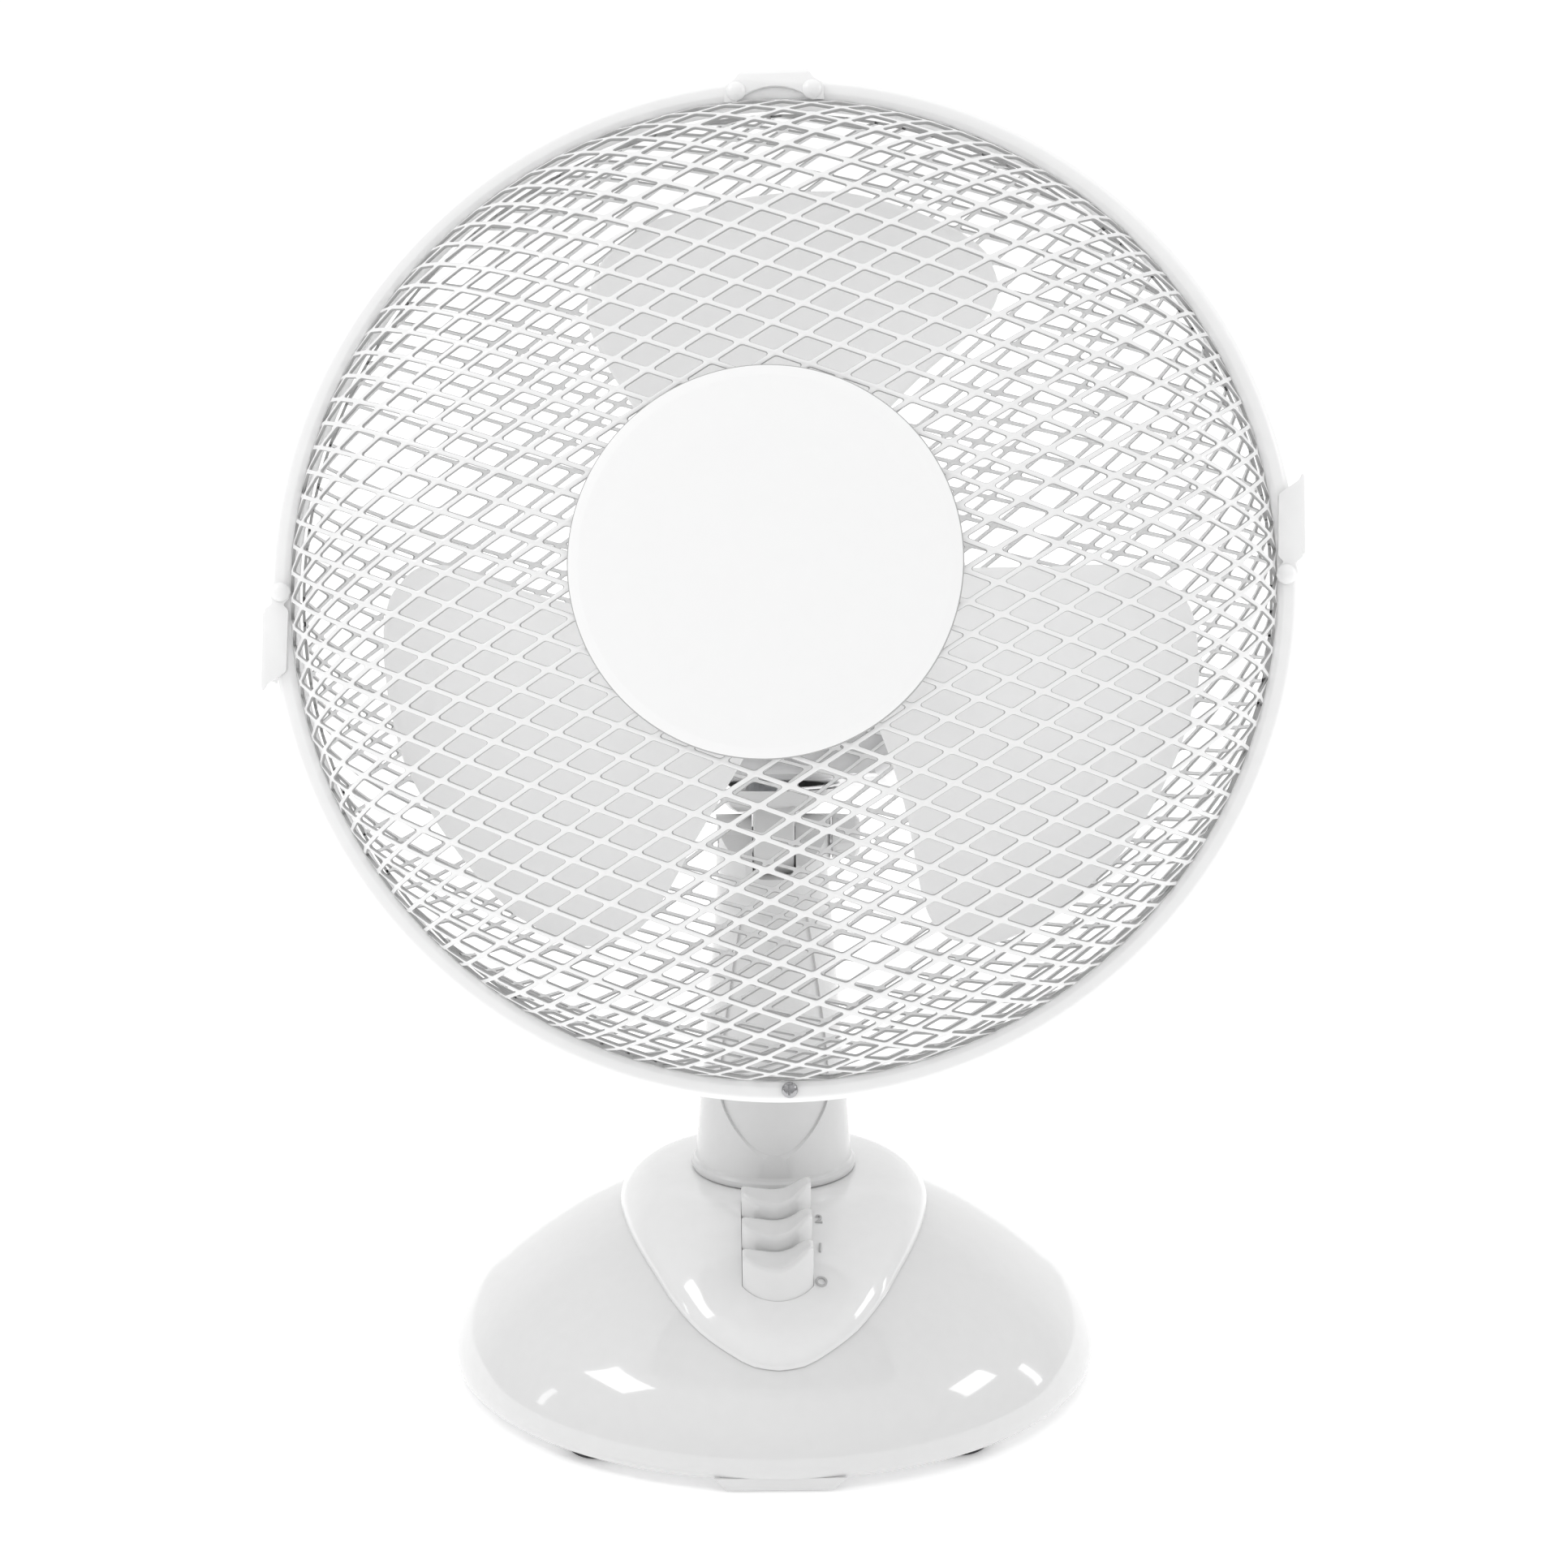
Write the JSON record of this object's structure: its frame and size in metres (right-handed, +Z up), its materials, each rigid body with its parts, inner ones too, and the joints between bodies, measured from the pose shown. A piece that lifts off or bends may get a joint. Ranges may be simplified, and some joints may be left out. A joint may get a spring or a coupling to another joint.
{
  "type": "desk fan",
  "caption": "White desk fan: round pressed-mesh guards and a rotor on a tilting, swinging head, tapered neck, domed round base with push keys.",
  "frame": {"origin": "on the resting surface, below the centre of the bounding box; the neck's axis is 21.6 mm behind it", "axes": "+Z up, -Y towards the front where the keys are, +X to the right of somebody facing the fan"},
  "size_m": [0.2837, 0.2501, 0.3966],
  "materials": {
    "gloss_white": "glossy white moulded plastic",
    "guard_white": "white powder coat on steel",
    "blade_grey": "pale grey plastic, low gloss",
    "inner_plastic": "grey matt plastic",
    "foot_rubber": "dark grey rubber",
    "bright_steel": "bright zinc-plated steel",
    "chrome": "polished chrome",
    "core_steel": "oiled electrical steel laminations",
    "cast_alloy": "die-cast aluminium",
    "copper_wire": null,
    "brass": "machined brass",
    "acetal": "natural acetal"
  },
  "bodies": {
    "base": {"base_shell": "gloss_white", "control_panel": "gloss_white", "base_plate": "gloss_white", "foot_1": "foot_rubber", "foot_2": "foot_rubber", "foot_3": "foot_rubber", "foot_4": "foot_rubber", "base_screw_1": "bright_steel", "base_screw_2": "bright_steel", "base_screw_3": "bright_steel", "base_screw_4": "bright_steel", "neck_column": "gloss_white", "switch_body": "inner_plastic", "cord_gland": "inner_plastic", "tilt_bolt": "bright_steel"},
    "tilt_knob": {"tilt_knob": "gloss_white"},
    "button_0": {"button_0": "gloss_white"},
    "button_1": {"button_1": "gloss_white"},
    "button_2": {"button_2": "gloss_white"},
    "tilt_head": {"tilt_bracket": "gloss_white", "swing_pin": "bright_steel", "pin_retainer": "bright_steel", "link_stud": "bright_steel"},
    "rotor": {"motor_shaft": "bright_steel", "rotor_core": "core_steel", "worm": "brass", "impeller": "blade_grey", "blade_nut": "blade_grey"},
    "worm_wheel": {"worm_wheel": "acetal"},
    "clutch_knob": {"clutch_knob": "gloss_white"},
    "clutch_spindle": {"clutch_spindle": "bright_steel"},
    "crank_gear": {"crank_gear": "acetal"},
    "link_arm": {"link_arm": "bright_steel"},
    "latch_left": {"latch_left": "guard_white"},
    "latch_right": {"latch_right": "guard_white"},
    "head": {"bell_front": "cast_alloy", "bell_rear": "cast_alloy", "centre_disc": "gloss_white", "cover_front": "gloss_white", "cover_rear": "gloss_white", "cover_screw": "bright_steel", "front_grille": "guard_white", "gearbox_case": "inner_plastic", "gearbox_lid": "inner_plastic", "guard_nut": "gloss_white", "hook_rivet_left": "guard_white", "hook_rivet_right": "guard_white", "latch_rivet_left": "guard_white", "latch_rivet_right": "guard_white", "motor_bolt_1": "bright_steel", "motor_bolt_2": "bright_steel", "rear_grille": "guard_white", "rim_front": "guard_white", "rim_nut": "bright_steel", "rim_rear": "guard_white", "rim_screw": "chrome", "stator_core": "core_steel", "top_hook": "guard_white", "winding_front": "copper_wire", "winding_rear": "copper_wire"}
  },
  "joints": [
    {"name": "tilt", "type": "hinge", "parent": "base", "child": "tilt_head", "pos_m": [0, 0.0216, 0.1685], "axis": [-1, 0, 0], "range_deg": [-27, 8]},
    {"name": "tilt_knob_turn", "type": "hinge", "parent": "base", "child": "tilt_knob", "pos_m": [0.022, 0.0216, 0.1685], "axis": [1, 0, 0], "range_deg": [-180, 180]},
    {"name": "head_swing", "type": "hinge", "parent": "tilt_head", "child": "head", "pos_m": [0, 0.02579, 0.18186], "axis": [0, 0.299, 0.9542], "range_deg": [-34.3, 45.7]},
    {"name": "rotor_spin", "type": "hinge", "parent": "head", "child": "rotor", "pos_m": [0.00323, -0.02992, 0.24951], "axis": [-0.0993, -0.9495, 0.2976], "continuous": true},
    {"name": "worm_wheel_turn", "type": "hinge", "parent": "head", "child": "worm_wheel", "pos_m": [0.03016, 0.05268, 0.22363], "axis": [0, 0.299, 0.9542], "continuous": true},
    {"name": "clutch_lift", "type": "slide", "parent": "head", "child": "clutch_knob", "axis": [0, 0.299, 0.9542], "range_m": [0, 0.005]},
    {"name": "clutch_spindle_turn", "type": "hinge", "parent": "clutch_knob", "child": "clutch_spindle", "pos_m": [0.03016, 0.05268, 0.22363], "axis": [0, 0.299, 0.9542], "continuous": true},
    {"name": "crank_turn", "type": "hinge", "parent": "head", "child": "crank_gear", "pos_m": [0.01105, 0.04882, 0.20493], "axis": [0, 0.299, 0.9542], "continuous": true},
    {"name": "link_turn", "type": "hinge", "parent": "crank_gear", "child": "link_arm", "pos_m": [0.00431, 0.04614, 0.19005], "axis": [0, 0.299, 0.9542], "continuous": true},
    {"name": "latch_left_open", "type": "hinge", "parent": "head", "child": "latch_left", "pos_m": [-0.13641, -0.05248, 0.25658], "axis": [0.0993, 0.9495, -0.2976], "range_deg": [0, 70]},
    {"name": "latch_right_open", "type": "hinge", "parent": "head", "child": "latch_right", "pos_m": [0.13544, -0.07837, 0.2647], "axis": [0.0993, 0.9495, -0.2976], "range_deg": [0, 70]},
    {"name": "button_0_press", "type": "slide", "parent": "base", "child": "button_0", "axis": [0, 0, -1], "range_m": [0, 0.004], "stiffness_N_per_m": 300, "springref_m": -0.004},
    {"name": "button_1_press", "type": "slide", "parent": "base", "child": "button_1", "axis": [0, 0, -1], "range_m": [0, 0.004], "stiffness_N_per_m": 300, "springref_m": -0.004},
    {"name": "button_2_press", "type": "slide", "parent": "base", "child": "button_2", "axis": [0, 0, -1], "range_m": [0, 0.004], "stiffness_N_per_m": 300, "springref_m": -0.004}
  ],
  "couplings": [
    {"joint": "worm_wheel_turn", "follows": "rotor_spin", "ratio": 0.041667},
    {"joint": "clutch_spindle_turn", "follows": "rotor_spin", "ratio": 0.041667},
    {"joint": "crank_turn", "follows": "rotor_spin", "ratio": -0.015625},
    {"joint": "link_turn", "follows": "rotor_spin", "ratio": 0.015625}
  ]
}
